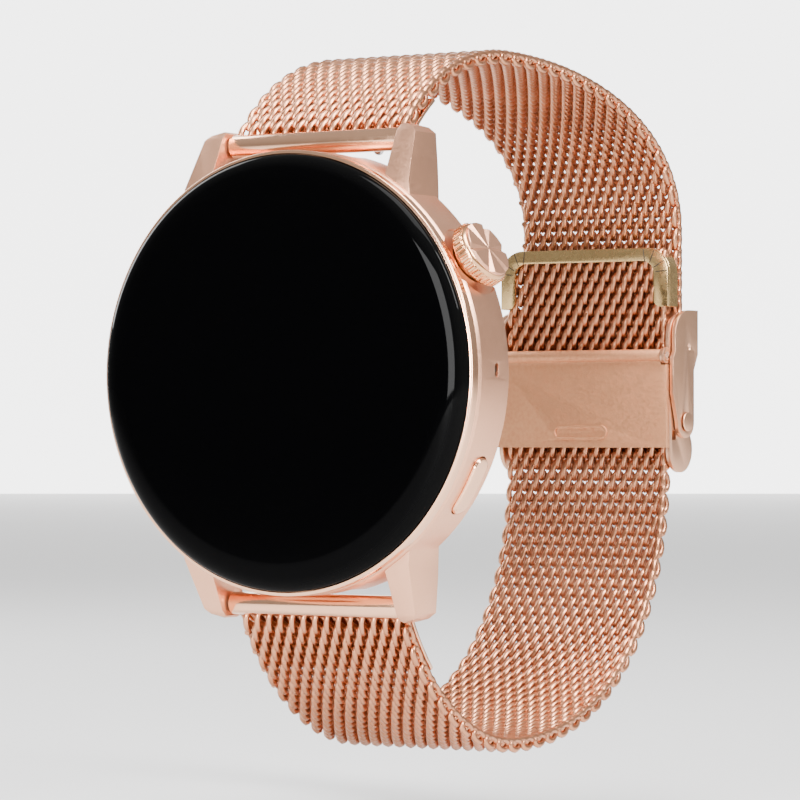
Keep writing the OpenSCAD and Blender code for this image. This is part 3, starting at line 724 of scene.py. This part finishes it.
class WATCH_OT_bars(bpy.types.Operator):
    """Finish the end bars, with half-moon crimps raised on their clip plates"""
    bl_idname = "watch.bars"
    bl_label = "End bars"

    def execute(self, context):
        for side in ("upper", "lower"):
            bar = copied(f"{side}_end_bar", f"{side}_bar_and_clip")
            bevel(bar, 0.07 * MM, 2, 40)
            dress(bar, f"{side}_strap", "rose_polished_metal", FINISH["bright"], f"{side}_end_bar",
                  angle=CREASE)
            place, along = on_curve(UPPER_BEZIER if side == "upper" else LOWER_BEZIER, CRIMP_SHARE)
            away = along.cross(Vector((1, 0, 0)))
            away = away if away.y > 0 else -away
            surface = place + away * CLIP_FACE
            first = slab(f"{side}_clip_crimps", crescent(3 * MM, 0.75 * MM, 0.3 * MM), 0.3 * MM, Matrix())
            bevel(first, 0.08 * MM, 2, 40)
            turn = Matrix((Vector((1, 0, 0)), along, away)).transposed().to_4x4()
            crimps = []
            for across in CRIMPS:
                crimp = first.copy()
                crimp.data = first.data.copy()
                bpy.context.scene.collection.objects.link(crimp)
                crimp.data.transform(Matrix.Translation(surface + Vector((across, 0, 0))) @ turn
                                     @ Matrix.Translation((0, 0, -0.18 * MM)))
                crimps.append(crimp)
            bpy.data.objects.remove(first)
            deselect()
            for crimp in crimps:
                crimp.select_set(True)
            bpy.context.view_layer.objects.active = crimps[0]
            bpy.ops.object.join()
            joined = named(bpy.context.object, f"{side}_clip_crimps")
            outward(joined)
            dress(joined, f"{side}_strap", "rose_polished_metal", FINISH["bright"], angle=40)
        return {"FINISHED"}


class WATCH_OT_tip(bpy.types.Operator):
    """Form the U-shaped metal end of the long strap, with its crimp lines as dark strips of painted shade"""
    bl_idname = "watch.tip"
    bl_label = "Band tip"

    def execute(self, context):
        low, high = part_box("strap_tip")
        half, top, foot = high.x, high.z, low.z
        bar, leg, corner = 1.4 * MM, 1.75 * MM, 2.6 * MM
        outer = [(half, foot)] + arc((half - corner, top - corner), corner, 0, 90, 12)
        outer += arc((-half + corner, top - corner), corner, 90, 180, 12) + [(-half, foot)]
        bend = 1.3 * MM
        inner = arc((-half + leg - 0.8 * MM, foot + 0.8 * MM), 0.8 * MM, -90, 0, 4)
        inner += arc((-half + leg + bend, top - bar - bend), bend, 180, 90, 8)
        inner += arc((half - leg - bend, top - bar - bend), bend, 90, 0, 8)
        inner += arc((half - leg + 0.8 * MM, foot + 0.8 * MM), 0.8 * MM, 180, 270, 4)
        depth = 0.42 * MM
        upright = Matrix.Rotation(math.radians(90), 4, "X")
        place = Matrix.Translation((0, low.y + depth + 0.04 * MM, 0)) @ upright
        plate = slab("gold_tip_plate", outer + inner, depth, place)
        bevel(plate, 0.1 * MM, 2, 40)
        dress(plate, "lower_strap", "gold_tip_metal", FINISH["tip"], "strap_tip", angle=35)
        wall = 0.3 * MM
        within = [(-half + wall, foot)]
        within += arc((-half + corner, top - corner), corner - wall, 180, 90, 12)
        within += arc((half - corner, top - corner), corner - wall, 90, 0, 12) + [(half - wall, foot)]
        side = slab("gold_tip_edge", outer + within, high.y - low.y - 0.5 * MM,
                    Matrix.Translation((0, high.y, 0)) @ upright)
        bevel(side, 0.06 * MM, 1, 40)
        dress(side, "lower_strap", "gold_tip_metal", FINISH["tip"], angle=35)

        # the crimp lines are thin dark strips on the plate's face, painted shade where the grooves would be
        marks = []
        reach = corner - 0.8 * MM
        for turn in (98, 68, 30, 4):
            for flip in (1, -1):
                angle = math.radians(turn)
                mid = Vector((flip * (half - corner + reach * math.cos(angle)), low.y + 0.04 * MM,
                              top - corner + reach * math.sin(angle)))
                bpy.ops.mesh.primitive_cube_add(size=1, location=mid, rotation=(0, -flip * angle, 0),
                                                scale=(1.4 * MM, 0.05 * MM, 0.09 * MM))
                mark = bpy.context.object
                bake_place(mark)
                marks.append(mark)
        deselect()
        for mark in marks:
            mark.select_set(True)
        bpy.context.view_layer.objects.active = marks[0]
        bpy.ops.object.join()
        lines = named(bpy.context.object, "gold_tip_crimp_shade_lines")
        bevel(lines, 0.01 * MM, 1, 40)
        dress(lines, "lower_strap", "gold_tip_metal", FINISH["groove_shade"])
        return {"FINISHED"}


class WATCH_OT_clasp(bpy.types.Operator):
    """Finish the clasp's frame, cover, rivets and lock plate"""
    bl_idname = "watch.clasp"
    bl_label = "Clasp"

    def execute(self, context):
        for node, name, body, width, finish in (
                ("clasp_frame", "clasp_frame_shell", "lower_strap", 0.1, "brushed"),
                ("clasp_cover", "clasp_cover_shell", "cover", 0.14, "brushed"),
                ("lock_plate", "lock_plate_shell", "lock", 0.1, "lock"),
                ("cover_rivets", "cover_rivet_heads", "lower_strap", 0.08, "brushed")):
            obj = copied(node, name)
            bevel(obj, width * MM, 2, 40)
            dress(obj, body, "rose_brushed_metal", FINISH[finish], node, angle=35)
        return {"FINISHED"}


class WATCH_OT_frame_finish(bpy.types.Operator):
    """Give every carried-over CAD node its finish"""
    bl_idname = "watch.frame_finish"
    bl_label = "Frame finishes"

    def execute(self, context):
        slots = {part["node"]: part["material_slot"] for part in frame["record"]["subparts"]}
        for name, obj in frame["nodes"].items():
            obj.data.materials[0] = FINISH[NODE_FINISH[slots[name]]]
        return {"FINISHED"}


# ---------------------------------------------------------------- stage

def look_at(obj, target):
    obj.rotation_euler = (target - obj.location).to_track_quat("-Z", "Y").to_euler()


def soft_light(name, place, target, size, power, tint=(1, 1, 1)):
    lamp = bpy.data.lights.new(name, "AREA")
    lamp.shape = "RECTANGLE"
    lamp.size, lamp.size_y = size
    lamp.energy = power
    lamp.color = tint
    obj = bpy.data.objects.new(name, lamp)
    bpy.context.scene.collection.objects.link(obj)
    obj.location = place
    look_at(obj, target)
    return obj


class WATCH_OT_stage(bpy.types.Operator):
    """Lay the pale floor, raise the white screen, hang the soft lights and place the camera"""
    bl_idname = "watch.stage"
    bl_label = "Stage"

    def execute(self, context):
        _, _, stage = settings()
        low, high = CAD_BOX
        deselect()
        bpy.ops.mesh.primitive_plane_add(size=6, location=(0, 0, low[2] - 9 * MM))
        floor = named(bpy.context.object, "floor")
        material, nodes, links, shader = node_tree("pale_floor")
        tone = grain(nodes, links, 3, detail=2)
        links.new(tinted(nodes, links, tone, (0.7, 0.7, 0.7), 0.02), shader.inputs["Base Color"])
        shader.inputs["Roughness"].default_value = 0.6
        floor.data.materials.append(material)
        bpy.ops.mesh.primitive_plane_add(size=1.6, location=(-1.37, 2.1, 0.746),
                                         rotation=(math.radians(90), 0, stage.azimuth))
        screen = named(bpy.context.object, "white_screen")
        material, nodes, links, shader = node_tree("white_screen")
        tone = grain(nodes, links, 3, detail=2)
        links.new(tinted(nodes, links, tone, (1, 1, 1), 0.02), shader.inputs["Emission Color"])
        shader.inputs["Emission Strength"].default_value = 4
        screen.data.materials.append(material)

        centre = Vector((-4.1 * MM, 17.3 * MM, -2.3 * MM))
        turn = Vector((math.sin(stage.azimuth) * math.cos(stage.elevation),
                       -math.cos(stage.azimuth) * math.cos(stage.elevation), math.sin(stage.elevation)))
        data = bpy.data.cameras.new("camera")
        data.sensor_width = 36
        data.lens = data.sensor_width * stage.distance / stage.width
        data.clip_start = 0.01
        camera = bpy.data.objects.new("camera", data)
        bpy.context.scene.collection.objects.link(camera)
        camera.location = centre + stage.distance * turn
        look_at(camera, centre)
        bpy.context.scene.camera = camera

        aim = Vector((0, 15 * MM, 0))
        soft_light("key", Vector((0.15, -0.1, 0.5)), aim, (0.3, 0.3), 5.5)
        soft_light("side", Vector((0.42, -0.1, 0.34)), aim, (0.1, 0.24), 5)
        soft_light("front", Vector((0.05, -0.5, 0.1)), aim, (0.16, 0.26), 5)
        soft_light("left", Vector((-0.5, 0.15, 0.25)), aim, (0.2, 0.4), 2.5)

        world = bpy.context.scene.world or bpy.data.worlds.new("studio")
        bpy.context.scene.world = world
        world.use_nodes = True
        background = world.node_tree.nodes["Background"]
        nodes, links = world.node_tree.nodes, world.node_tree.links
        way = nodes.new("ShaderNodeTexCoord")
        parts = nodes.new("ShaderNodeSeparateXYZ")
        sky = nodes.new("ShaderNodeValToRGB")
        sky.color_ramp.elements[0].position = 0.0
        sky.color_ramp.elements[0].color = (0.62, 0.62, 0.62, 1)
        sky.color_ramp.elements[1].position = 0.7
        sky.color_ramp.elements[1].color = (1, 1, 1, 1)
        links.new(way.outputs["Generated"], parts.inputs["Vector"])
        links.new(parts.outputs["Z"], sky.inputs["Fac"])
        links.new(sky.outputs["Color"], background.inputs["Color"])
        background.inputs["Strength"].default_value = 0.6
        return {"FINISHED"}


class WATCH_PT_panel(bpy.types.Panel):
    """Shows the watch's settings and its building steps in the sidebar"""
    bl_idname = "WATCH_PT_panel"
    bl_label = "Watch"
    bl_space_type = "VIEW_3D"
    bl_region_type = "UI"
    bl_category = "Watch"

    def draw(self, context):
        column = self.layout.column()
        for group in (context.scene.watch_finish, context.scene.watch_band, context.scene.watch_stage):
            for name in group.bl_rna.properties.keys():
                if name not in ("rna_type", "name"):
                    column.prop(group, name)
        for operator in OPERATORS:
            column.operator(operator.bl_idname)


OPERATORS = (WATCH_OT_frame_finish, WATCH_OT_case, WATCH_OT_crown, WATCH_OT_button, WATCH_OT_bars,
             WATCH_OT_band, WATCH_OT_tip, WATCH_OT_clasp, WATCH_OT_stage)
CLASSES = (WatchFinish, WatchBand, WatchStage, *OPERATORS, WATCH_PT_panel)


def register():
    for item in CLASSES:
        bpy.utils.register_class(item)
    bpy.types.Scene.watch_finish = bpy.props.PointerProperty(type=WatchFinish)
    bpy.types.Scene.watch_band = bpy.props.PointerProperty(type=WatchBand)
    bpy.types.Scene.watch_stage = bpy.props.PointerProperty(type=WatchStage)


def unregister():
    del bpy.types.Scene.watch_finish
    del bpy.types.Scene.watch_band
    del bpy.types.Scene.watch_stage
    for item in reversed(CLASSES):
        bpy.utils.unregister_class(item)


def main():
    register()
    make_finishes()
    for operator in OPERATORS:
        group, name = operator.bl_idname.split(".")
        getattr(getattr(bpy.ops, group), name)()


if __name__ == "__main__":
    main()
